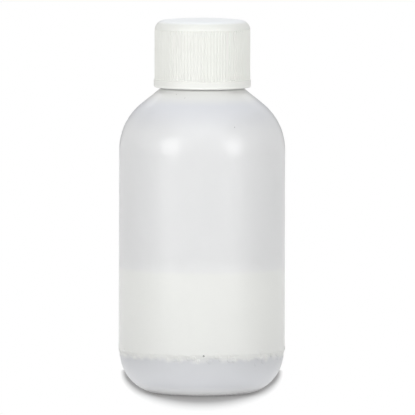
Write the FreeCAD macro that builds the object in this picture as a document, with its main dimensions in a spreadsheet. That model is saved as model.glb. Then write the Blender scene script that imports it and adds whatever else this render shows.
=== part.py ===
import FreeCAD, Part
import math
import os
import Sketcher

# A 60 ml reagent bottle of translucent polyethylene with a ribbed screw cap.
# Frame: millimetres, +Z up along the bottle's axis, origin on the table under the centre of the base.
# Pieces: the blow-moulded bottle, the screw cap, the foam liner in the cap and the reagent in the bottle.

# Driving dimensions: alias, value and meaning. Lengths are in millimetres, angles in degrees.
SIZES = [
    ("body_d", 39.0, "outer diameter of the body"),
    ("bottle_top", 85.6, "height of the sealing land on top of the neck"),
    ("shoulder_r", 14.1, "radius of the shoulder"),
    ("shoulder_slope", 38.8, "slope of the cone between the shoulder and the neck"),
    ("neck_fillet", 2.0, "radius where the cone meets the neck"),
    ("heel_r", 9.5, "radius of the heel"),
    ("heel_step", 0.3, "how far the heel is set in from the body, at the mould line"),
    ("heel_ledge", 0.9, "height of the sloping ledge between the heel and the body"),
    ("stand_width", 1.6, "width of the flat ring that the bottle stands on"),
    ("push_up", 1.6, "height of the hollow in the middle of the base"),
    ("weld_length", 12.0, "length of the pinch weld across the hollow"),
    ("weld_r", 0.35, "radius of the pinch weld"),
    ("wall", 1.0, "wall of the body and the shoulder"),
    ("base_wall", 1.6, "wall of the base and the heel"),
    ("heel_blend", 4.0, "height over which the heel's wall thins to the body's"),
    ("bore_d", 13.5, "bore of the neck"),
    ("bore_fillet", 3.0, "radius where the bore opens into the shoulder"),
    ("lip_r", 0.4, "radius of the lip's outer edge"),
    ("neck_d", 17.5, "diameter of the neck between the threads"),
    ("thread_height", 1.05, "height of the thread on the neck and of the one in the cap"),
    ("thread_round", 0.15, "height of the rounded crest of each thread"),
    ("thread_root", 1.6, "width of each thread at its root"),
    ("thread_crest", 0.7, "width of each thread where its crest begins"),
    ("thread_pitch", 3.175, "rise of the thread in one turn"),
    ("thread_turns", 1.5, "turns of thread on the neck and in the cap"),
    ("thread_start", 1.9, "depth of the thread's upper end below the sealing land"),
    ("thread_gap", 0.25, "radial gap between each crest and the root that it faces"),
    ("flank_gap", 0.2, "axial gap between the two threads' flanks"),
    ("thread_sink", 0.3, "depth to which each thread is rooted in its wall"),
    ("nose_share", 0.9, "width of the rounded nose at each thread's end, as a share of the thread's"),
    ("liner_thick", 1.0, "thickness of the liner"),
    ("liner_gap", 0.15, "radial gap between the liner and the cap"),
    ("bead_r", 0.45, "radius of the bead that keeps the liner in the cap"),
    ("bead_gap", 0.1, "gap between the bead and the liner"),
    ("cap_height", 15.8, "height of the cap up to its top edge"),
    ("rim_gap", 0.45, "gap between the cap's rim and the shoulder under it"),
    ("cap_top", 1.3, "thickness of the cap's top at its edge"),
    ("cap_crown", 0.4, "rise of the cap's top in the middle"),
    ("cap_corner", 2.4, "radius between the cap's top and its side"),
    ("cap_side", 1.21, "wall of the cap's side, out to the ribs' crests"),
    ("band_height", 1.9, "height of the smooth band under the ribs"),
    ("band_proud", 0.15, "how far the band stands out from the ribs"),
    ("rim_r", 0.4, "radius of the cap's lower outer edge"),
    ("rib_inset", 2.1, "depth of the ribs' upper ends below the cap's top edge"),
    ("rib_count", 96, "number of grooves between the ribs"),
    ("groove_r", 0.3, "radius of each groove"),
    ("groove_depth", 0.2, "depth of each groove"),
    ("fill_z", 29.2, "height of the reagent's level"),
    ("fill_gap", 0.05, "gap between the reagent and the wall"),
    ("meniscus_rise", 0.6, "rise of the reagent at the wall"),
    ("meniscus_width", 2.0, "width of the reagent's curved edge"),
]

# Derived sizes, written as expressions of the sheet's cells
BODY_R = "dims.body_d / 2"
STAND_OUT_R = f"({BODY_R} - dims.heel_step - dims.heel_r)"
STAND_IN_R = f"({STAND_OUT_R} - dims.stand_width)"
DOME_R = f"(({STAND_IN_R}^2 + dims.push_up^2) / (2 * dims.push_up))"
NECK_R = "dims.neck_d / 2"
BORE_R = "dims.bore_d / 2"
NECK_CREST_R = f"({NECK_R} + dims.thread_height)"
CAP_BORE_R = f"({NECK_CREST_R} + dims.thread_gap)"
CAP_CREST_R = f"({CAP_BORE_R} - dims.thread_height)"
CAP_CEILING = "(dims.bottle_top + dims.liner_thick)"
CAP_TOP = f"({CAP_CEILING} + dims.cap_top)"
CAP_RIM = f"({CAP_TOP} - dims.cap_height)"
CONE_R = f"({BODY_R} - dims.shoulder_r * (1 - sin(dims.shoulder_slope)))"
CONE_RISE = f"(({CONE_R} - {CAP_BORE_R}) * tan(dims.shoulder_slope))"
SHOULDER_Z = f"({CAP_RIM} - dims.rim_gap - {CONE_RISE} - dims.shoulder_r * cos(dims.shoulder_slope))"
RIB_R = f"({CAP_BORE_R} + dims.cap_side)"
RIB_TOP = f"({CAP_TOP} - dims.rib_inset)"
RIB_BOTTOM = f"({CAP_RIM} + dims.band_height)"
BEAD_Z = "(dims.bottle_top - dims.bead_gap - dims.bead_r)"
THREAD_RISE = "(dims.thread_pitch * dims.thread_turns)"
FLANK_LEAN = "((dims.thread_root - dims.thread_crest) / (2 * (dims.thread_height - dims.thread_round)))"
FLANKS_APART = (f"(dims.thread_crest + dims.flank_gap"
                f" + {FLANK_LEAN} * (dims.thread_height - dims.thread_gap - 2 * dims.thread_round))")
NECK_THREAD_Z = f"(dims.bottle_top - dims.thread_start - {THREAD_RISE})"
CAP_THREAD_Z = f"({NECK_THREAD_Z} - {FLANKS_APART})"
SUNK_HALF = f"(dims.thread_root / 2 + dims.thread_sink * {FLANK_LEAN})"

# Sketch references: the points of an edge, the sketch's own point and its two axes
START, END, CENTRE = range(1, 4)
ACROSS, UP = range(-1, -3, -1)
ORIGIN = (ACROSS, START)

CUT_PAST = 1.0

doc = FreeCAD.newDocument("reagent_bottle")
dims = doc.addObject("Spreadsheet::Sheet", "dims")


def fill_sheet():
    """One row for each driving dimension: its meaning, its value and its alias."""
    for row, (alias, value, meaning) in enumerate(SIZES, start=1):
        dims.set(f"A{row}", meaning)
        dims.set(f"B{row}", str(value))
        dims.setAlias(f"B{row}", alias)
    doc.recompute()


def size(expression):
    """The present value of an expression of the sheet's cells."""
    return float(dims.evalExpression(expression))


def placed(x, y, z, turn="0"):
    """A placement expression: a shift, after a turn about the second axis."""
    return f"placement(vector({x}; {y}; {z}); rotation(vector(0; 1; 0); {turn}))"


class Outline:
    """A closed sketch outline, drawn edge by edge from the point where the last edge ended."""

    def __init__(self, body, name, start=(0, 0), plane="XZ_Plane", place=None):
        support = next(f for f in body.Origin.OriginFeatures if f.Role == plane)
        self.sketch = body.newObject("Sketcher::SketchObject", name)
        self.sketch.AttachmentSupport = [(support, "")]
        self.sketch.MapMode = "FlatFace"
        if place:
            self.sketch.setExpression("AttachmentOffset", place)
        self.point = start
        self.edges = []

    def _add(self, curve, first, last, smooth):
        edge = self.sketch.addGeometry(curve, False)
        if self.edges:
            before, _, joint = self.edges[-1]
            self.rule("Tangent" if smooth else "Coincident", before, joint, edge, first)
        self.edges.append((edge, first, last))
        return edge

    def line(self, x, y, smooth=False):
        """A straight edge to (x, y); a smooth one is tangent to the edge before it."""
        start = FreeCAD.Vector(*self.point, 0)
        self.point = (x, y)
        return self._add(Part.LineSegment(start, FreeCAD.Vector(x, y, 0)), START, END, smooth)

    def arc(self, cx, cy, x, y, smooth=False, clockwise=False):
        """An arc about (cx, cy) to (x, y)."""
        low = math.atan2(self.point[1] - cy, self.point[0] - cx)
        high = math.atan2(y - cy, x - cx)
        first, last = START, END
        if clockwise:
            low, high = high, low
            first, last = END, START
        if high < low:
            high += 2 * math.pi
        radius = math.hypot(x - cx, y - cy)
        circle = Part.Circle(FreeCAD.Vector(cx, cy, 0), FreeCAD.Vector(0, 0, 1), radius)
        self.point = (x, y)
        return self._add(Part.ArcOfCircle(circle, low, high), first, last, smooth)

    def circle(self, x, y, radius):
        curve = Part.Circle(FreeCAD.Vector(x, y, 0), FreeCAD.Vector(0, 0, 1), radius)
        return self.sketch.addGeometry(curve, False)

    def close(self):
        first_edge, first, _ = self.edges[0]
        last_edge, _, last = self.edges[-1]
        self.rule("Coincident", last_edge, last, first_edge, first)

    def rule(self, kind, *where):
        self.sketch.addConstraint(Sketcher.Constraint(kind, *where))

    def on_axis(self, edge, where, axis):
        self.rule("PointOnObject", edge, where, axis)

    def bind(self, name, expression, kind, *where):
        """A named dimension whose value follows the sheet."""
        index = self.sketch.addConstraint(Sketcher.Constraint(kind, *where, size(expression)))
        self.sketch.renameConstraint(index, name)
        self.sketch.setExpression(f"Constraints.{name}", expression)

    def bind_x(self, name, expression, edge, where):
        self.bind(name, expression, "DistanceX", *ORIGIN, edge, where)

    def bind_y(self, name, expression, edge, where):
        self.bind(name, expression, "DistanceY", *ORIGIN, edge, where)


def shoulder_arc(inset):
    """Centre and upper end of the shoulder's arc, inset from the outer surface."""
    slope = math.radians(size("dims.shoulder_slope"))
    radius = size("dims.shoulder_r") - inset
    x = size(BODY_R) - size("dims.shoulder_r")
    z = size(SHOULDER_Z)
    return (x, z), (x + radius * math.sin(slope), z + radius * math.cos(slope))


def cone_fillet(inset, wall_r, radius):
    """Foot, centre and head of the arc that turns the cone up into an upright wall at wall_r."""
    slope = math.radians(size("dims.shoulder_slope"))
    x, z = shoulder_arc(inset)[1]
    foot_x = wall_r + radius * (1 - math.sin(slope))
    foot_z = z + (x - foot_x) * math.tan(slope)
    centre_z = foot_z + radius * math.cos(slope)
    return (foot_x, foot_z), (wall_r + radius, centre_z), (wall_r, centre_z)


def draw_shoulder(o, inset, inset_cell, wall_r, wall_cell, fillet_cell):
    """The body's side, the shoulder, the cone and its fillet. The upright wall comes next."""
    centre, shoulder_end = shoulder_arc(inset)
    foot, fillet_centre, head = cone_fillet(inset, wall_r, size(fillet_cell))
    side = o.line(size(BODY_R) - inset, centre[1])
    shoulder = o.arc(*centre, *shoulder_end, smooth=True)
    o.line(*foot, smooth=True)
    fillet = o.arc(*fillet_centre, *head, smooth=True, clockwise=True)

    o.rule("Vertical", side)
    o.bind_y("shoulder_height", SHOULDER_Z, side, END)
    o.bind("shoulder_radius", f"dims.shoulder_r - {inset_cell}", "Radius", shoulder)
    reach = f"(dims.shoulder_r - {inset_cell}) * sin(dims.shoulder_slope)"
    o.bind_x("cone_start", f"{BODY_R} - dims.shoulder_r + {reach}", shoulder, END)
    o.bind("cone_fillet", fillet_cell, "Radius", fillet)
    o.bind_x("upright_radius", wall_cell, fillet, START)


def draw_floor(o, gap, gap_cell):
    """The cavity's floor and heel, up to where the wall has thinned, kept gap inside its surface."""
    stand_out_r = size(STAND_OUT_R)
    heel_r = size("dims.heel_r")
    floor = size("dims.base_wall") + gap
    centre_z = size("dims.push_up") + floor - size(DOME_R)
    side_r = size(BODY_R) - size("dims.wall") - gap

    dome = o.arc(0, centre_z, size(STAND_IN_R), floor, clockwise=True)
    ring = o.line(stand_out_r, floor)
    heel = o.arc(stand_out_r, heel_r, stand_out_r + heel_r - floor, heel_r, smooth=True)
    thinning = o.line(side_r, heel_r + size("dims.heel_blend"))

    o.on_axis(dome, CENTRE, UP)
    o.on_axis(dome, END, UP)
    o.rule("Horizontal", ring)
    o.rule("Horizontal", heel, CENTRE, heel, END)
    o.bind_y("floor_middle", f"dims.push_up + dims.base_wall + {gap_cell}", dome, END)
    o.bind_y("floor_edge", f"dims.base_wall + {gap_cell}", ring, START)
    o.bind_x("floor_inner", STAND_IN_R, ring, START)
    o.bind_x("floor_outer", STAND_OUT_R, ring, END)
    o.bind("heel_inside", f"dims.heel_r - dims.base_wall - {gap_cell}", "Radius", heel)
    o.bind_x("side_radius", f"{BODY_R} - dims.wall - {gap_cell}", thinning, END)
    o.bind_y("thinning_top", "dims.heel_r + dims.heel_blend", thinning, END)


def draw_bottle_outside(body):
    """Half section of the bottle's outer surface, closed along the axis."""
    stand_out_r, push_up = size(STAND_OUT_R), size("dims.push_up")
    heel_r, ledge_height = size("dims.heel_r"), size("dims.heel_ledge")
    neck_r, lip_r, top = size(NECK_R), size("dims.lip_r"), size("dims.bottle_top")

    o = Outline(body, "bottle_outside", (0, push_up))
    dome = o.arc(0, push_up - size(DOME_R), size(STAND_IN_R), 0, clockwise=True)
    ring = o.line(stand_out_r, 0)
    heel = o.arc(stand_out_r, heel_r, stand_out_r + heel_r, heel_r, smooth=True)
    ledge = o.line(size(BODY_R), heel_r + ledge_height)
    draw_shoulder(o, 0, "0", neck_r, NECK_R, "dims.neck_fillet")
    neck = o.line(neck_r, top - lip_r, smooth=True)
    lip = o.arc(neck_r - lip_r, top - lip_r, neck_r - lip_r, top, smooth=True)
    land = o.line(0, top, smooth=True)
    o.line(0, push_up)
    o.close()

    o.on_axis(dome, CENTRE, UP)
    o.on_axis(dome, END, UP)
    o.on_axis(land, END, UP)
    o.on_axis(ring, START, ACROSS)
    o.on_axis(ring, END, ACROSS)
    o.rule("Horizontal", heel, CENTRE, heel, END)
    o.rule("Vertical", neck)
    o.rule("Horizontal", land)
    o.bind_y("push_up", "dims.push_up", dome, END)
    o.bind("stand_width", "dims.stand_width", "DistanceX", ring, START, ring, END)
    o.bind("heel_radius", "dims.heel_r", "Radius", heel)
    o.bind("step_out", "dims.heel_step", "DistanceX", ledge, START, ledge, END)
    o.bind("step_up", "dims.heel_ledge", "DistanceY", ledge, START, ledge, END)
    o.bind_x("body_radius", BODY_R, ledge, END)
    o.bind("lip_radius", "dims.lip_r", "Radius", lip)
    o.bind_y("height", "dims.bottle_top", land, END)
    return o.sketch


def draw_cavity(body):
    """Half section of the space in the bottle, carried past the sealing land."""
    bore_r = size(BORE_R)
    floor_middle = size("dims.push_up + dims.base_wall")
    past = size("dims.bottle_top") + CUT_PAST

    o = Outline(body, "bottle_cavity", (0, floor_middle))
    draw_floor(o, 0, "0")
    draw_shoulder(o, size("dims.wall"), "dims.wall", bore_r, BORE_R, "dims.bore_fillet")
    bore = o.line(bore_r, past, smooth=True)
    mouth = o.line(0, past)
    o.line(0, floor_middle)
    o.close()

    o.rule("Vertical", bore)
    o.rule("Horizontal", mouth)
    o.on_axis(mouth, END, UP)
    o.bind_y("past_land", f"dims.bottle_top + {CUT_PAST}", bore, END)
    return o.sketch


def draw_weld(body):
    """Round section of the pinch weld, which follows the hollow of the base."""
    o = Outline(body, "weld_section", plane="YZ_Plane", place=placed("0", f"dims.push_up - {DOME_R}", "0"))
    bead = o.circle(0, size(DOME_R), size("dims.weld_r"))
    o.on_axis(bead, CENTRE, UP)
    o.bind_y("weld_height", DOME_R, bead, CENTRE)
    o.bind("weld_radius", "dims.weld_r", "Radius", bead)
    return o.sketch


def draw_cap(body):
    """Half section of the cap without its ribs and its thread."""
    top, rim, corner = size(CAP_TOP), size(CAP_RIM), size("dims.cap_corner")
    crown, rib_r, rib_bottom = size("dims.cap_crown"), size(RIB_R), size(RIB_BOTTOM)
    proud, rim_r, bore_r = size("dims.band_proud"), size("dims.rim_r"), size(CAP_BORE_R)
    bead_z, bead_r, ceiling = size(BEAD_Z), size("dims.bead_r"), size(CAP_CEILING)
    band_r = rib_r + proud
    crown_r = ((rib_r - corner) ** 2 + crown ** 2) / (2 * crown) + corner
    lean = math.asin((rib_r - corner) / (crown_r - corner))
    crown_edge = (crown_r * math.sin(lean), top + crown - crown_r * (1 - math.cos(lean)))

    o = Outline(body, "cap_section", (0, top + crown))
    crown_arc = o.arc(0, top + crown - crown_r, *crown_edge, clockwise=True)
    corner_arc = o.arc(rib_r - corner, top - corner, rib_r, top - corner, smooth=True, clockwise=True)
    side = o.line(rib_r, rib_bottom, smooth=True)
    ledge = o.line(band_r, rib_bottom - proud)
    band = o.line(band_r, rim + rim_r)
    rim_arc = o.arc(band_r - rim_r, rim + rim_r, band_r - rim_r, rim, smooth=True, clockwise=True)
    foot = o.line(bore_r, rim, smooth=True)
    bore = o.line(bore_r, bead_z - bead_r)
    bead = o.arc(bore_r, bead_z, bore_r, bead_z + bead_r, clockwise=True)
    seat = o.line(bore_r, ceiling)
    roof = o.line(0, ceiling)
    o.line(0, top + crown)
    o.close()

    o.on_axis(crown_arc, CENTRE, UP)
    o.on_axis(crown_arc, END, UP)
    o.on_axis(roof, END, UP)
    for upright in (side, band, bore, seat):
        o.rule("Vertical", upright)
    for level in (foot, roof):
        o.rule("Horizontal", level)
    o.rule("Vertical", bead, CENTRE, bead, START)
    o.rule("Vertical", bead, CENTRE, bead, END)
    o.bind_y("crown_top", f"{CAP_TOP} + dims.cap_crown", crown_arc, END)
    o.bind("corner_radius", "dims.cap_corner", "Radius", corner_arc)
    o.bind_y("corner_height", f"{CAP_TOP} - dims.cap_corner", corner_arc, CENTRE)
    o.bind_x("rib_radius", RIB_R, side, END)
    o.bind_y("rib_bottom", RIB_BOTTOM, side, END)
    o.bind("band_out", "dims.band_proud", "DistanceX", ledge, START, ledge, END)
    o.bind("band_down", "dims.band_proud", "DistanceY", ledge, END, ledge, START)
    o.bind("rim_radius", "dims.rim_r", "Radius", rim_arc)
    o.bind_y("rim_height", CAP_RIM, foot, END)
    o.bind_x("bore_radius", CAP_BORE_R, bore, START)
    o.bind("bead_radius", "dims.bead_r", "Radius", bead)
    o.bind_y("bead_height", BEAD_Z, bead, CENTRE)
    o.bind_y("ceiling_height", CAP_CEILING, roof, END)
    return o.sketch


def draw_groove(body):
    """Round section of one groove between two ribs, drawn at the ribs' upper ends."""
    o = Outline(body, "groove_section", plane="XY_Plane", place=placed("0", "0", RIB_TOP))
    reach = f"{RIB_R} + dims.groove_r - dims.groove_depth"
    groove = o.circle(size(reach), 0, size("dims.groove_r"))
    o.on_axis(groove, CENTRE, ACROSS)
    o.bind_x("groove_reach", reach, groove, CENTRE)
    o.bind("groove_radius", "dims.groove_r", "Radius", groove)
    return o.sketch


def draw_thread(body, name, start_z, crest_cell, root_cell, sign):
    """Section of a thread about its own middle line. The sign is "+" for a crest that points outwards."""
    out = 1 if sign == "+" else -1
    sunk_cell = f"{root_cell} - {sign}dims.thread_sink"
    flank_cell = f"{crest_cell} - {sign}dims.thread_round"
    sunk, flank_end, crest = size(sunk_cell), size(flank_cell), size(crest_cell)
    half, half_crest, rise = size(SUNK_HALF), size("dims.thread_crest / 2"), size("dims.thread_round")
    crest_r = (half_crest ** 2 + rise ** 2) / (2 * rise)

    o = Outline(body, name, (sunk, -half), place=placed("0", start_z, "0"))
    low = o.line(flank_end, -half_crest)
    top = o.arc(crest - out * crest_r, 0, flank_end, half_crest, clockwise=out < 0)
    high = o.line(sunk, half)
    root = o.line(sunk, -half)
    o.close()

    o.rule("Symmetric", root, START, root, END, ACROSS)
    o.rule("Symmetric", low, END, high, START, ACROSS)
    o.bind_x("sunk_radius", sunk_cell, root, START)
    o.bind_x("flank_end", flank_cell, low, END)
    o.bind("root_width", f"2 * {SUNK_HALF}", "DistanceY", root, END, root, START)
    o.bind("crest_width", "dims.thread_crest", "DistanceY", low, END, high, START)
    bow = "((dims.thread_crest / 2)^2 + dims.thread_round^2) / (2 * dims.thread_round)"
    o.bind("crest_bow", bow, "Radius", top)
    return o.sketch


def draw_nose(body, name, place, crest_cell, root_cell, sign):
    """Half section of the round nose at a thread's end, to be turned about its own radial line."""
    sunk_cell = f"{root_cell} - {sign}dims.thread_sink"
    tip_cell = f"{crest_cell} - {sign}dims.thread_round"
    sunk, tip = size(sunk_cell), size(tip_cell)
    half_cell = f"dims.nose_share * {SUNK_HALF}"
    tip_half_cell = "dims.nose_share * dims.thread_crest / 2"

    o = Outline(body, name, (sunk, 0), place=place)
    root = o.line(sunk, size(half_cell))
    o.line(tip, size(tip_half_cell))
    end = o.line(tip, 0)
    o.line(sunk, 0)
    o.close()

    o.on_axis(root, START, ACROSS)
    o.on_axis(end, END, ACROSS)
    o.rule("Vertical", root)
    o.rule("Vertical", end)
    o.bind_x("sunk_radius", sunk_cell, root, START)
    o.bind_x("tip_radius", tip_cell, end, END)
    o.bind("root_half", half_cell, "DistanceY", root, START, root, END)
    o.bind("tip_half", tip_half_cell, "DistanceY", end, END, end, START)
    return o.sketch


def draw_reagent(body):
    """Half section of the reagent, with its edge drawn up along the wall."""
    gap = size("dims.fill_gap")
    floor_middle = size("dims.push_up + dims.base_wall") + gap
    level, rise, width = size("dims.fill_z"), size("dims.meniscus_rise"), size("dims.meniscus_width")
    side_r = size(BODY_R) - size("dims.wall") - gap
    bow = (width ** 2 + rise ** 2) / (2 * rise)

    o = Outline(body, "reagent_section", (0, floor_middle))
    draw_floor(o, gap, "dims.fill_gap")
    side = o.line(side_r, level + rise)
    meniscus = o.arc(side_r - width, level + bow, side_r - width, level, clockwise=True)
    surface = o.line(0, level, smooth=True)
    o.line(0, floor_middle)
    o.close()

    o.rule("Vertical", side)
    o.rule("Horizontal", surface)
    o.on_axis(surface, END, UP)
    o.bind_y("level", "dims.fill_z", surface, END)
    o.bind("meniscus_width", "dims.meniscus_width", "DistanceX", meniscus, START, meniscus, END)
    o.bind("meniscus_rise", "dims.meniscus_rise", "DistanceY", meniscus, START, meniscus, END)
    return o.sketch


def revolve(body, kind, name, sketch, axis="V_Axis"):
    """Turns a section through a full circle, as added or as removed material."""
    feature = body.newObject(f"PartDesign::{kind}", name)
    feature.Profile = sketch
    feature.ReferenceAxis = (sketch, [axis])
    feature.Angle = 360
    return feature


def add_thread(body, name, start_z, crest_cell, root_cell, sign):
    """A right-handed thread with a round nose at each end."""
    section = draw_thread(body, f"{name}_section", start_z, crest_cell, root_cell, sign)
    helix = body.newObject("PartDesign::AdditiveHelix", name)
    helix.Profile = section
    helix.ReferenceAxis = (section, ["V_Axis"])
    helix.Mode = "pitch-turns-angle"
    helix.setExpression("Pitch", "dims.thread_pitch")
    helix.setExpression("Turns", "dims.thread_turns")
    doc.recompute()
    lower = placed("0", start_z, "0")
    upper = placed("0", f"{start_z} + {THREAD_RISE}", "0", "360 * dims.thread_turns")
    for end, place in (("lower", lower), ("upper", upper)):
        nose = draw_nose(body, f"{name}_{end}_section", place, crest_cell, root_cell, sign)
        revolve(body, "Revolution", f"{name}_{end}_nose", nose, "H_Axis")
        doc.recompute()


def new_body(label):
    body = doc.addObject("PartDesign::Body", label)
    body.Label = label
    body.Placement = FreeCAD.Placement()
    return body


def make_bottle():
    """The blow-moulded bottle: a turned shell with a weld under the base and a thread on the neck."""
    body = new_body("bottle")
    revolve(body, "Revolution", "bottle_solid", draw_bottle_outside(body))
    revolve(body, "Groove", "bottle_hollow", draw_cavity(body))
    weld = revolve(body, "Revolution", "pinch_weld", draw_weld(body), "H_Axis")
    weld.Midplane = True
    weld.setExpression("Angle", f"2 * asin(dims.weld_length / (2 * {DOME_R}))")
    doc.recompute()
    add_thread(body, "neck_thread", NECK_THREAD_Z, NECK_CREST_R, NECK_R, "+")
    return body


def make_cap():
    """The screw cap: a turned shell with grooves cut round its side and a thread inside."""
    body = new_body("screw_cap")
    revolve(body, "Revolution", "cap_shell", draw_cap(body))
    groove = body.newObject("PartDesign::Pocket", "rib_groove")
    groove.Profile = draw_groove(body)
    groove.setExpression("Length", f"{RIB_TOP} - {RIB_BOTTOM}")
    ribs = body.newObject("PartDesign::PolarPattern", "ribs")
    ribs.Originals = [groove]
    ribs.Axis = (groove.Profile[0], ["N_Axis"])
    ribs.Angle = 360
    ribs.setExpression("Occurrences", "dims.rib_count")
    body.Tip = ribs
    doc.recompute()
    add_thread(body, "cap_thread", CAP_THREAD_Z, CAP_CREST_R, CAP_BORE_R, "-")
    return body


def make_liner():
    """The foam disc between the cap's ceiling and the sealing land."""
    liner = doc.addObject("Part::Cylinder", "cap_liner")
    liner.Label = "cap_liner"
    liner.setExpression("Radius", f"{CAP_BORE_R} - dims.liner_gap")
    liner.setExpression("Height", "dims.liner_thick")
    liner.setExpression("Placement.Base.z", "dims.bottle_top")
    return liner


def make_reagent():
    """The milky reagent that fills the lower part of the bottle."""
    body = new_body("reagent_fill")
    revolve(body, "Revolution", "reagent_volume", draw_reagent(body))
    return body


def check_document(pieces):
    """Stops the build if a feature failed, a sketch is loose or a piece is not one sound solid."""
    for item in doc.Objects:
        if {"Invalid", "Error"} & set(item.State):
            raise RuntimeError(f"{item.Name} did not build: {item.State}")
        if item.isDerivedFrom("Sketcher::SketchObject") and not item.FullyConstrained:
            raise RuntimeError(f"{item.Name} is not fully constrained")
    for piece in pieces:
        shape = piece.Shape
        if shape.isNull() or not shape.isValid() or len(shape.Solids) != 1:
            raise RuntimeError(f"{piece.Label} is not one valid solid")


def export(pieces):
    os.makedirs("parts", exist_ok=True)
    for piece in pieces:
        piece.Shape.exportStep(f"parts/{piece.Label}.step")
        box = piece.Shape.optimalBoundingBox(False, False)
        print(f"{piece.Label}: {piece.Shape.Volume / 1000:.2f} ml, z {box.ZMin:.2f} to {box.ZMax:.2f}")


fill_sheet()
all_pieces = [make_bottle(), make_cap(), make_liner(), make_reagent()]
doc.recompute()
check_document(all_pieces)
export(all_pieces)
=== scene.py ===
import math
import random

import bpy
from mathutils import Matrix, Vector


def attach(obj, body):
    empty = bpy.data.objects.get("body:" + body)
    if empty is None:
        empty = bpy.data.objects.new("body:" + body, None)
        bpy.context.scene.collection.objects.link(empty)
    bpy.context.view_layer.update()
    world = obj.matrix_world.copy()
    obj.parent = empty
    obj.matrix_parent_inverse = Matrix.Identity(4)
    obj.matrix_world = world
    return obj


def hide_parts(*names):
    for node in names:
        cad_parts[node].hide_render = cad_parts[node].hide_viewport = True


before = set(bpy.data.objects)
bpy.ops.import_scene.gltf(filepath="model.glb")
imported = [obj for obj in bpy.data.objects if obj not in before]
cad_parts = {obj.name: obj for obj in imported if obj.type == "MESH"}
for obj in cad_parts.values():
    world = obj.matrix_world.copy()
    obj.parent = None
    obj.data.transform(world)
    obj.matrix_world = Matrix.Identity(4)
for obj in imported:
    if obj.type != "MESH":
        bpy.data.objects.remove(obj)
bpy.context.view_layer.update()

# A 60 ml reagent bottle of translucent polyethylene with a ribbed screw cap, on a white table.
# Metres, in the part's own frame: +Z up along the bottle's axis, origin on the table.

MM = 0.001

# The photograph's camera: the image's side in pixels, a pixel's size where it aims, and the places
# of its aim and of the camera itself
IMAGE_SIDE = 415
PIXEL = 0.2353 * MM
AIM = Vector((1.29, 0.0, 43.72)) * MM
CAMERA = Vector((1.29, -3000.0, 253.5)) * MM
CAMERA_ROLL = math.radians(0.14)
SENSOR = 36.0

# The bottle's sizes that its looks follow. The heel's quarter round ends at the heel line,
# and a sloping ledge leads from there to the body.
BODY_R = 19.5 * MM
WALL = 1.0 * MM
HEEL_R = 9.5 * MM
HEEL_STEP = 0.3 * MM
HEEL_LEDGE = 0.9 * MM
HEEL_LINE = HEEL_R
BASE_WALL = 1.6 * MM
HEEL_BLEND = 4.0 * MM
STAND_WIDTH = 1.6 * MM
STAND_OUT_R = BODY_R - HEEL_STEP - HEEL_R
STAND_IN_R = STAND_OUT_R - STAND_WIDTH
PUSH_UP = 1.6 * MM
SHOULDER_Z = 57.3 * MM
SHOULDER_R = 14.1 * MM
SHOULDER_SLOPE = 38.8
CAP_RIM_Z = 72.1 * MM
CAP_TOP_Z = 88.3 * MM

# The reagent: its level, its edge along the wall and how far it reaches into the wall that it wets
LEVEL = 29.2 * MM
MENISCUS_RISE = 0.6 * MM
MENISCUS_WIDTH = 2.0 * MM
WETTING = 0.05 * MM
FILM_RISE = 2.0 * MM
FILM_THICK = 0.15 * MM

# Marks of the moulding. Specks: the angle from the front, the height and the radius in millimetres
HEEL_MARKS = 170
HEEL_WAVE = 1.2 * MM
BLISTER_SIDES = 14
SEAM_LOW = 1.5 * MM
SEAM_HIGH = 70.0 * MM
SEAM_HALF = 0.14 * MM
SEAM_PROUD = 0.04 * MM
SEAM_SUNK = 0.03 * MM
SPECKS = (
    (1.4, 10.2, 0.3),
    (25.0, 63.7, 0.12),
    (-20.1, 70.2, 0.1),
    (-33.5, 70.9, 0.08),
    (160.0, 38.0, 0.12),
)

# Steps round a turned mesh, and the angle from which an edge is drawn sharp
AROUND = 192
SHARP_ANGLE = math.radians(35)

# The stage: the surrounding light, the lamps' aim, the table with its painted shadow, and the grey cards.
# The painted shadow fades from a core to a rim, two ovals with half sizes aside of, ahead of and behind a
# centre that lies behind the bottle's axis; it lies over the real shadow that the table receives.
AMBIENT = 0.33
LAMP_AIM = Vector((0, 0, 45 * MM))
TABLE_COLOR = (0.85, 0.85, 0.85, 1)
SHADOW_COLOR = (0.17, 0.16, 0.16, 1)
SHADOW_GLOW = 0.22
SHADOW_CENTRE = 62 * MM
SHADOW_CORE = (17.8 * MM, 76 * MM, 15 * MM)
SHADOW_RIM = (19.6 * MM, 115 * MM, 20 * MM)
FLAG_AWAY = 0.4
FLAG_SIDE = 0.14
FLAG_SHADE = 0.5
FLAG_AZIMUTH = 165
FLAG_ELEVATION = 15


class Nodes:
    """A short way to write a material's nodes."""

    def __init__(self, tree):
        self.tree = tree

    def add(self, kind, **settings):
        """A node; a setting named like an input socket sets that socket, and any other sets a property."""
        node = self.tree.nodes.new("ShaderNode" + kind)
        for name, value in settings.items():
            socket = node.inputs.get(name.replace("_", " "))
            if socket is not None:
                self.set(socket, value)
            else:
                setattr(node, name, value)
        return node

    def set(self, socket, value):
        """Links the socket to another socket, or gives it a value."""
        if isinstance(value, bpy.types.NodeSocket):
            self.tree.links.new(value, socket)
        else:
            socket.default_value = value


def ramp(nodes, value, low, high, to_low=0.0, to_high=1.0):
    """A smooth step from one value to another while the input goes from low to high."""
    step = nodes.add("MapRange", interpolation_type="SMOOTHSTEP")
    nodes.set(step.inputs["Value"], value)
    nodes.set(step.inputs["From Min"], low)
    nodes.set(step.inputs["From Max"], high)
    nodes.set(step.inputs["To Min"], to_low)
    nodes.set(step.inputs["To Max"], to_high)
    return step.outputs["Result"]


def math_of(nodes, operation, first, second):
    node = nodes.add("Math", operation=operation)
    nodes.set(node.inputs[0], first)
    nodes.set(node.inputs[1], second)
    return node.outputs[0]


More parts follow.
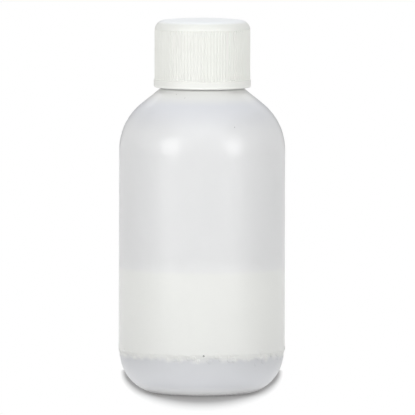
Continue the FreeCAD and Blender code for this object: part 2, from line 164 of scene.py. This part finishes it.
def noise(nodes, place, size, stretch=(1, 1, 1), detail=2.0):
    """Noise from 0 to 1 with lumps of about the given size, longer along an axis by its stretch."""
    scaled = nodes.add("Mapping")
    nodes.set(scaled.inputs["Vector"], place)
    scaled.inputs["Scale"].default_value = [1 / (size * s) for s in stretch]
    texture = nodes.add("TexNoise")
    nodes.set(texture.inputs["Vector"], scaled.outputs[0])
    texture.inputs["Scale"].default_value = 1.0
    texture.inputs["Detail"].default_value = detail
    return texture.outputs["Fac"]


def mix_color(nodes, factor, first, second):
    node = nodes.add("Mix", data_type="RGBA")
    nodes.set(node.inputs[0], factor)
    nodes.set(node.inputs[6], first)
    nodes.set(node.inputs[7], second)
    return node.outputs[2]


def bump(nodes, shader, height, depth, strength=1.0):
    """Gives the shader a fine relief of the given depth."""
    node = nodes.add("Bump")
    nodes.set(node.inputs["Height"], height)
    node.inputs["Distance"].default_value = depth
    node.inputs["Strength"].default_value = strength
    nodes.set(shader.inputs["Normal"], node.outputs["Normal"])


def new_material(name):
    """A material with its nodes, its principled shader, the frame's coordinates and the height in them."""
    material = bpy.data.materials.new(name)
    material.use_nodes = True
    nodes = Nodes(material.node_tree)
    shader = material.node_tree.nodes["Principled BSDF"]
    place = nodes.add("TexCoord").outputs["Object"]
    split = nodes.add("SeparateXYZ")
    nodes.set(split.inputs[0], place)
    return material, nodes, shader, place, split.outputs["Z"]


def wall_color(nodes, place, height):
    """The bottle's colour: lighter and warmer where the reagent wets it, partly as painted light, and
    greyer at the heel.

    Painted shade darkens the shoulder and the neck under the cap, and painted light lifts the wall just
    under the cap's rim and at the very foot.
    """
    dry = (0.96, 0.958, 0.957, 1)
    wet_painted_lighter = (0.99, 0.99, 0.962, 1)
    heel = (0.765, 0.77, 0.79, 1)
    # Painted shade: the shoulder's darker, bluer colour stands in for the dimmer light on the shoulder.
    shoulder = (0.765, 0.77, 0.8, 1)
    # Painted shade: the neck's darker colour under the cap stands in for the cap's shadow.
    neck = (0.84, 0.84, 0.82, 1)
    # Painted light: the wall just under the cap's rim is lightened against the shade in the gap there.
    thread_painted_light = (0.985, 0.985, 0.97, 1)
    # Painted light: the very foot is lightened against the shade where it stands on the table.
    foot = (1.0, 0.995, 0.99, 1)
    flow = noise(nodes, place, 1.2 * MM, (1, 1, 18))
    dry_flow = mix_color(nodes, flow, tuple(0.985 * c for c in dry), dry)
    wavy = math_of(nodes, "MULTIPLY_ADD", noise(nodes, place, 2.2 * MM), 2 * HEEL_WAVE)
    wavy.node.inputs[2].default_value = -HEEL_WAVE
    edge = math_of(nodes, "ADD", height, wavy)
    # Where the reagent lies behind the wall its colour is lighter and warmer: the reagent's tint, partly
    # painted light.
    above_reagent = ramp(nodes, height, LEVEL - 0.4 * MM, LEVEL + 1.2 * MM)
    toward_shoulder_painted_shade = ramp(nodes, height, SHOULDER_Z + 4 * MM, SHOULDER_Z + 12 * MM)
    upper = mix_color(nodes, toward_shoulder_painted_shade, dry_flow, shoulder)
    under_cap_painted_shade = ramp(nodes, height, CAP_RIM_Z - 4 * MM, CAP_RIM_Z - 1.5 * MM)
    hidden = ramp(nodes, height, CAP_RIM_Z - 1.1 * MM, CAP_RIM_Z - 0.5 * MM)
    upper = mix_color(nodes, under_cap_painted_shade, upper, mix_color(nodes, hidden, neck, thread_painted_light))
    wall = mix_color(nodes, above_reagent, wet_painted_lighter, upper)
    above_heel = ramp(nodes, edge, HEEL_LINE - 1.2 * MM, HEEL_LINE + 0.5 * MM)
    base = mix_color(nodes, ramp(nodes, height, 0.4 * MM, 3 * MM), foot, heel)
    return mix_color(nodes, above_heel, base, wall)


def polyethylene():
    """Cloudy wall that lets less light through at the neck and at the heel."""
    material, nodes, shader, place, height = new_material("translucent_polyethylene")
    nodes.set(shader.inputs["Base Color"], wall_color(nodes, place, height))
    toward_heel = ramp(nodes, height, 2 * MM, HEEL_LINE + 2 * MM, 0.0, 0.42)
    toward_neck = ramp(nodes, height, 62 * MM, 70 * MM, 0.42, 0.15)
    nodes.set(shader.inputs["Transmission Weight"], math_of(nodes, "MINIMUM", toward_heel, toward_neck))
    nodes.set(shader.inputs["Roughness"], ramp(nodes, noise(nodes, place, 4 * MM), 0.3, 0.7, 0.29, 0.34))
    shader.inputs["IOR"].default_value = 1.51
    shader.inputs["Specular IOR Level"].default_value = 0.25
    shader.inputs["Coat Weight"].default_value = 0.22
    shader.inputs["Coat Roughness"].default_value = 0.08
    bump(nodes, shader, noise(nodes, place, 3 * MM, detail=0.0), 0.004 * MM, 0.5)
    return material


def polypropylene():
    """White cap: a little uneven, with a fine satin grain on its side and a smoother top.

    Painted light makes its top lighter and bluer, and its lowest band by the rim lighter, than its side.
    """
    material, nodes, shader, place, height = new_material("white_polypropylene")
    cloud = noise(nodes, place, 5 * MM)
    side = mix_color(nodes, cloud, (0.765, 0.765, 0.726, 1), (0.78, 0.78, 0.742, 1))
    # Painted light: the band by the rim is lightened against the shade in the gap below it.
    rim = mix_color(nodes, cloud, (0.85, 0.85, 0.815, 1), (0.87, 0.87, 0.835, 1))
    # Painted light: the top's lighter, bluer colour stands in for the cool light that falls on and glances
    # off it.
    top = mix_color(nodes, cloud, (0.95, 0.965, 0.985, 1), (0.965, 0.98, 1.0, 1))
    above_rim = ramp(nodes, height, CAP_RIM_Z + 0.2 * MM, CAP_RIM_Z + 0.8 * MM)
    on_top = ramp(nodes, height, CAP_TOP_Z - 1.2 * MM, CAP_TOP_Z - 0.4 * MM)
    below_top = mix_color(nodes, above_rim, rim, side)
    nodes.set(shader.inputs["Base Color"], mix_color(nodes, on_top, below_top, top))
    satin = ramp(nodes, noise(nodes, place, 2 * MM), 0.3, 0.7, 0.4, 0.48)
    smoother = ramp(nodes, on_top, 0.0, 1.0, 0.5, 0.3)
    nodes.set(shader.inputs["Roughness"], math_of(nodes, "MINIMUM", satin, smoother))
    shader.inputs["Specular IOR Level"].default_value = 0.4
    off_top = ramp(nodes, on_top, 0.0, 1.0, 1.0, 0.0)
    grain = math_of(nodes, "MULTIPLY", noise(nodes, place, 0.25 * MM), off_top)
    bump(nodes, shader, grain, 0.003 * MM, 0.3)
    return material


def foam():
    """White foam with closed cells."""
    material, nodes, shader, place, _ = new_material("liner_foam")
    cells = nodes.add("TexVoronoi", feature="DISTANCE_TO_EDGE")
    nodes.set(cells.inputs["Vector"], place)
    cells.inputs["Scale"].default_value = 1 / (0.35 * MM)
    wall = ramp(nodes, cells.outputs["Distance"], 0.0, 0.25)
    edge_color, cell_color = (0.93, 0.93, 0.91, 1), (0.85, 0.85, 0.83, 1)
    nodes.set(shader.inputs["Base Color"], mix_color(nodes, wall, edge_color, cell_color))
    nodes.set(shader.inputs["Roughness"], ramp(nodes, wall, 0.0, 1.0, 0.7, 0.85))
    bump(nodes, shader, wall, -0.05 * MM)
    return material


def reagent():
    """Milky liquid with faint clouds, painted lighter towards its surface and darker towards the bottom.
    """
    material, nodes, shader, place, height = new_material("milky_reagent")
    # Painted light and shade: the colour grows whiter towards the surface and duller towards the bottom.
    painted_light_to_surface = ramp(nodes, height, 4 * MM, LEVEL, 0.0, 0.9)
    cloud = math_of(nodes, "MULTIPLY_ADD", noise(nodes, place, 6 * MM, (1, 1, 2)), 0.1)
    nodes.set(cloud.node.inputs[2], painted_light_to_surface)
    deep, surface = (0.955, 0.955, 0.935, 1), (0.99, 0.99, 0.972, 1)
    nodes.set(shader.inputs["Base Color"], mix_color(nodes, cloud, deep, surface))
    nodes.set(shader.inputs["Roughness"], ramp(nodes, noise(nodes, place, 3 * MM), 0.3, 0.7, 0.12, 0.2))
    return material


def speck():
    """A grain of darker resin."""
    material, nodes, shader, place, _ = new_material("resin_speck")
    grain = noise(nodes, place, 0.1 * MM)
    dark, light = (0.3, 0.3, 0.29, 1), (0.5, 0.5, 0.48, 1)
    nodes.set(shader.inputs["Base Color"], mix_color(nodes, grain, dark, light))
    shader.inputs["Roughness"].default_value = 0.5
    return material


def arc(centre, radius, start, end, steps):
    """Points of an arc in the (radius, height) plane. Angles in degrees, 0 outwards and 90 up."""
    angles = (math.radians(start + (end - start) * i / steps) for i in range(steps + 1))
    return [(centre[0] + radius * math.cos(a), centre[1] + radius * math.sin(a)) for a in angles]


def add_piece(name, verts, faces, material):
    """A smooth mesh that moves with the bottle and has the given material."""
    mesh = bpy.data.meshes.new(name)
    mesh.from_pydata(verts, [], faces)
    mesh.shade_smooth()
    mesh.set_sharp_from_angle(angle=SHARP_ANGLE)
    mesh.materials.append(material)
    piece = bpy.data.objects.new(name, mesh)
    bpy.context.scene.collection.objects.link(piece)
    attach(piece, "bottle")
    return piece


def around(radius, turn, height):
    """A point at an angle round the bottle's axis. Angle 0 is the camera's side and grows to the right."""
    return (radius * math.sin(turn), -radius * math.cos(turn), height)


def lathe(outline_at):
    """Points and faces turned from the outline, a list of (radius, height), that each angle has.

    The outlines start and end on the axis."""
    turns = [2 * math.pi * i / AROUND for i in range(AROUND)]
    outlines = [outline_at(turn) for turn in turns]
    rows = len(outlines[0]) - 2
    verts = [(0, 0, outlines[0][0][1]), (0, 0, outlines[0][-1][1])]
    for turn, outline in zip(turns, outlines):
        verts += [around(r, turn, z) for r, z in outline[1:-1]]
    faces = []
    for i in range(AROUND):
        here, there = 2 + i * rows, 2 + (i + 1) % AROUND * rows
        faces.append((0, there, here))
        faces += [(here + k, there + k, there + k + 1, here + k + 1) for k in range(rows - 1)]
        faces.append((here + rows - 1, there + rows - 1, 1))
    return verts, faces


def film_height(turn):
    """How far the reagent clings to the wall above its level: most at the front, nothing at the back."""
    ripple = 0.12 * math.sin(5 * turn + 0.6) + 0.08 * math.sin(11 * turn)
    return FILM_RISE * max(0.0, math.cos(turn)) * (1 + ripple)


def reagent_outline(turn):
    """The cavity's outline up to the reagent's edge on the wall, then its surface."""
    side = BODY_R - WALL + WETTING
    floor = BASE_WALL - WETTING
    dome_r = (STAND_IN_R ** 2 + PUSH_UP ** 2) / (2 * PUSH_UP)
    half = math.degrees(math.asin(STAND_IN_R / dome_r))
    bow = (MENISCUS_WIDTH ** 2 + MENISCUS_RISE ** 2) / (2 * MENISCUS_RISE)
    sweep = math.degrees(math.asin(MENISCUS_WIDTH / bow))
    inner = side - WETTING - FILM_THICK
    outline = [(0, floor + PUSH_UP)]
    outline += arc((0, floor + PUSH_UP - dome_r), dome_r, 90, 90 - half, 12)[1:]
    outline += arc((STAND_OUT_R, HEEL_R), HEEL_R - floor, -90, 0, 24)
    outline.append((side, HEEL_R + HEEL_BLEND))
    edge = LEVEL + MENISCUS_RISE + film_height(turn)
    outline += [(side, edge), (inner, edge)]
    outline += arc((inner - MENISCUS_WIDTH, LEVEL + bow), bow, sweep - 90, -90, 10)
    outline.append((0, LEVEL))
    return outline


def make_reagent():
    """The liquid that fills and wets the bottle's cavity."""
    verts, faces = lathe(reagent_outline)
    piece = add_piece("reagent", verts, faces, reagent())
    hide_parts("reagent_fill")


def bottle_radius(height):
    """The radius of the bottle's outside below the neck."""
    if height < HEEL_LINE:
        return STAND_OUT_R + math.sqrt(HEEL_R ** 2 - (HEEL_R - height) ** 2)
    if height < HEEL_LINE + HEEL_LEDGE:
        return BODY_R - HEEL_STEP * (1 - (height - HEEL_LINE) / HEEL_LEDGE)
    if height < SHOULDER_Z:
        return BODY_R
    steep = math.radians(90 - SHOULDER_SLOPE)
    rise = height - SHOULDER_Z
    if rise < SHOULDER_R * math.sin(steep):
        return BODY_R - SHOULDER_R + math.sqrt(SHOULDER_R ** 2 - rise ** 2)
    start = BODY_R - SHOULDER_R * (1 - math.cos(steep))
    return start - (rise - SHOULDER_R * math.sin(steep)) * math.tan(steep)


def blister(verts, faces, turn, height, radius, profile):
    """Adds a small round bump to the bottle's outside.

    The profile holds pairs: a share of the radius and the height above the wall there."""
    first = len(verts)
    for share, proud in profile:
        for i in range(BLISTER_SIDES):
            angle = 2 * math.pi * i / BLISTER_SIDES
            z = height + share * radius * math.sin(angle)
            r = bottle_radius(z)
            verts.append(around(r + proud, turn + share * radius * math.cos(angle) / r, z))
    for ring in range(len(profile) - 1):
        low = first + ring * BLISTER_SIDES
        for i in range(BLISTER_SIDES):
            j = (i + 1) % BLISTER_SIDES
            faces.append((low + i, low + j, low + BLISTER_SIDES + j, low + BLISTER_SIDES + i))
    faces.append(tuple(first + i for i in reversed(range(BLISTER_SIDES))))
    last = first + (len(profile) - 1) * BLISTER_SIDES
    faces.append(tuple(last + i for i in range(BLISTER_SIDES)))


def make_heel_marks(material):
    """Small blisters along the heel line, where the blown wall met the cooler mould."""
    draw = random.Random(20)
    verts, faces = [], []
    for _ in range(HEEL_MARKS):
        turn = draw.uniform(-math.pi, math.pi)
        height = HEEL_LINE + draw.gauss(0.0, 0.6) * MM
        radius = draw.uniform(0.3, 0.75) * MM
        proud = draw.uniform(0.06, 0.14) * MM
        profile = [(1.0, -0.04 * MM), (0.8, 0.7 * proud), (0.6, proud), (0.3, 0.6 * proud)]
        blister(verts, faces, turn, height, radius, profile)
    add_piece("heel_marks", verts, faces, material)


def make_specks():
    """Dark specks in the wall's skin."""
    verts, faces = [], []
    for turn, height, radius in SPECKS:
        profile = [(1.0, -0.03 * MM), (0.7, 0.01 * MM), (0.3, 0.02 * MM)]
        blister(verts, faces, math.radians(turn), height * MM, radius * MM, profile)
    add_piece("wall_specks", verts, faces, speck())


def make_parting_line(material):
    """The fine ridge that the two halves of the mould left at both sides."""
    verts, faces = [], []
    steps = 120
    for side in (-1, 1):
        first = len(verts)
        for i in range(steps + 1):
            height = SEAM_LOW + (SEAM_HIGH - SEAM_LOW) * i / steps
            r = bottle_radius(height)
            for offset, proud in ((-SEAM_HALF, -SEAM_SUNK), (0, SEAM_PROUD), (SEAM_HALF, -SEAM_SUNK)):
                verts.append((side * (r + proud), offset, height))
        for i in range(steps):
            low = first + 3 * i
            for k in range(2):
                quad = (low + k, low + k + 1, low + k + 4, low + k + 3)
                faces.append(quad if side > 0 else quad[::-1])
    add_piece("parting_line", verts, faces, material)


def dress(node, material):
    """Gives a CAD node its material."""
    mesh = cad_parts[node].data
    mesh.materials.clear()
    mesh.materials.append(material)


def direction(azimuth, elevation):
    """The direction from the bottle, in degrees. Azimuth 0 is the camera's side and grows to the right."""
    a, e = math.radians(azimuth), math.radians(elevation)
    return Vector((math.sin(a) * math.cos(e), -math.cos(a) * math.cos(e), math.sin(e)))


def seen_rays(nodes):
    """1 for rays from the eye, in mirrors and through glass, and 0 for those that light the object."""
    path = nodes.add("LightPath")
    mirrored = math_of(nodes, "MAXIMUM", path.outputs["Is Camera Ray"], path.outputs["Is Glossy Ray"])
    return math_of(nodes, "MAXIMUM", mirrored, path.outputs["Is Transmission Ray"])


def make_world():
    """A white surrounding that lights the object only softly."""
    world = bpy.data.worlds.new("studio")
    bpy.context.scene.world = world
    world.use_nodes = True
    nodes = Nodes(world.node_tree)
    background = world.node_tree.nodes["Background"]
    background.inputs["Color"].default_value = (1, 1, 1, 1)
    nodes.set(background.inputs["Strength"], ramp(nodes, seen_rays(nodes), 0, 1, AMBIENT, 1.0))


def flat_square(name, corners, material):
    mesh = bpy.data.meshes.new(name)
    mesh.from_pydata(corners, [], [(0, 1, 2, 3)])
    mesh.materials.append(material)
    square = bpy.data.objects.new(name, mesh)
    bpy.context.scene.collection.objects.link(square)
    return square


def oval(nodes, place, aside, ahead, behind):
    """The distance from the shadow's centre, as a share of an oval with the given half sizes."""
    across = math_of(nodes, "DIVIDE", place.outputs["X"], aside)
    offset = math_of(nodes, "SUBTRACT", place.outputs["Y"], SHADOW_CENTRE)
    front = math_of(nodes, "DIVIDE", offset, -ahead)
    back = math_of(nodes, "DIVIDE", offset, behind)
    spot = nodes.add("CombineXYZ")
    nodes.set(spot.inputs["X"], across)
    nodes.set(spot.inputs["Y"], math_of(nodes, "MAXIMUM", front, back))
    reach = nodes.add("VectorMath", operation="LENGTH")
    nodes.set(reach.inputs[0], spot.outputs[0])
    return reach.outputs["Value"]


def white_table():
    """A white table that glows to the eye away from the bottle; round its foot a painted shadow, a darker
    colour without the glow, lies over the real shadow that the table receives.
    """
    material = bpy.data.materials.new("white_table")
    material.use_nodes = True
    nodes = Nodes(material.node_tree)
    tree = material.node_tree
    tree.nodes.remove(tree.nodes["Principled BSDF"])
    place = nodes.add("SeparateXYZ")
    nodes.set(place.inputs[0], nodes.add("TexCoord").outputs["Object"])
    core = oval(nodes, place, *SHADOW_CORE)
    rim = oval(nodes, place, *SHADOW_RIM)
    past_core = math_of(nodes, "SUBTRACT", core, 1.0)
    outside = math_of(nodes, "DIVIDE", past_core, math_of(nodes, "SUBTRACT", core, rim))
    outside.node.use_clamp = True
    clear = math_of(nodes, "POWER", outside, 1.5)
    seen = seen_rays(nodes)
    shaded = math_of(nodes, "MULTIPLY", seen, math_of(nodes, "SUBTRACT", 1.0, clear))
    diffuse = nodes.add("BsdfDiffuse")
    # Painted shadow: for rays from the eye the table's colour darkens inside the ovals, and its glow fades
    # there.
    nodes.set(diffuse.inputs["Color"], mix_color(nodes, shaded, TABLE_COLOR, SHADOW_COLOR))
    glow = nodes.add("Emission", Color=(1, 1, 1, 1))
    both = nodes.add("MixShader")
    glowing = math_of(nodes, "MAXIMUM", clear, SHADOW_GLOW)
    nodes.set(both.inputs["Fac"], math_of(nodes, "MULTIPLY", seen, glowing))
    nodes.set(both.inputs[1], diffuse.outputs[0])
    nodes.set(both.inputs[2], glow.outputs[0])
    nodes.set(tree.nodes["Material Output"].inputs["Surface"], both.outputs[0])
    return material


def make_floor():
    half = 6.0
    corners = [(-half, -half, 0), (half, -half, 0), (half, half, 0), (-half, half, 0)]
    flat_square("floor", corners, white_table())


def make_flags():
    """Grey cards behind and above the bottle, hidden from the eye, which draw its shoulder's edges."""
    material = bpy.data.materials.new("grey_card")
    material.use_nodes = True
    shader = material.node_tree.nodes["Principled BSDF"]
    shader.inputs["Base Color"].default_value = (FLAG_SHADE, FLAG_SHADE, FLAG_SHADE, 1)
    shader.inputs["Roughness"].default_value = 0.9
    for name, azimuth in (("left_flag", -FLAG_AZIMUTH), ("right_flag", FLAG_AZIMUTH)):
        centre = direction(azimuth, FLAG_ELEVATION) * FLAG_AWAY
        across = direction(azimuth + 90, 0) * FLAG_SIDE / 2
        upward = direction(azimuth, FLAG_ELEVATION + 90) * FLAG_SIDE / 2
        corners = [centre - across - upward, centre + across - upward]
        corners += [centre + across + upward, centre - across + upward]
        flag = flat_square(name, corners, material)
        flag.visible_camera = False


def add_lamp(name, azimuth, elevation, distance, width, height, radiance, color=(1, 1, 1)):
    """A soft box that faces the bottle from a direction and lights it evenly, whatever its size."""
    data = bpy.data.lights.new(name, "AREA")
    data.shape = "RECTANGLE"
    data.size, data.size_y = width, height
    data.energy = radiance * math.pi * width * height
    data.color = color
    lamp = bpy.data.objects.new(name, data)
    bpy.context.scene.collection.objects.link(lamp)
    out = direction(azimuth, elevation)
    lamp.location = LAMP_AIM + out * distance
    lamp.rotation_mode = "QUATERNION"
    lamp.rotation_quaternion = out.to_track_quat("Z", "Y")
    lamp.visible_camera = False


def make_camera():
    data = bpy.data.cameras.new("camera")
    data.sensor_width = SENSOR
    data.lens = SENSOR * (CAMERA - AIM).length / (IMAGE_SIDE * PIXEL)
    data.clip_end = 20
    camera = bpy.data.objects.new("camera", data)
    bpy.context.scene.collection.objects.link(camera)
    camera.location = CAMERA
    camera.rotation_mode = "QUATERNION"
    aim = (AIM - CAMERA).to_track_quat("-Z", "Y")
    camera.rotation_quaternion = aim @ Matrix.Rotation(CAMERA_ROLL, 4, "Z").to_quaternion()
    bpy.context.scene.camera = camera


plastic = polyethylene()
dress("bottle", plastic)
dress("screw_cap", polypropylene())
dress("cap_liner", foam())
make_reagent()
make_heel_marks(plastic)
make_specks()
make_parting_line(plastic)
make_world()
make_floor()
make_flags()
# Azimuth and elevation in degrees, distance, width and height in metres, radiance and any colour
add_lamp("left_softbox", -46, 12, 0.6, 0.27, 0.25, 5.65)
add_lamp("right_softbox", 44, 12, 0.6, 0.24, 0.25, 5.45)
add_lamp("front_softbox", 0, 38, 0.6, 0.8, 0.42, 1.0, (0.95, 0.98, 1.0))
add_lamp("top_softbox", 0, 90, 0.8, 1.2, 1.2, 0.46, (0.93, 0.97, 1.0))
add_lamp("left_rim", -150, 36, 0.6, 0.035, 0.16, 2.6)
add_lamp("right_rim", 150, 36, 0.6, 0.035, 0.16, 1.8)
make_camera()
bpy.context.scene.view_settings.view_transform = "Standard"
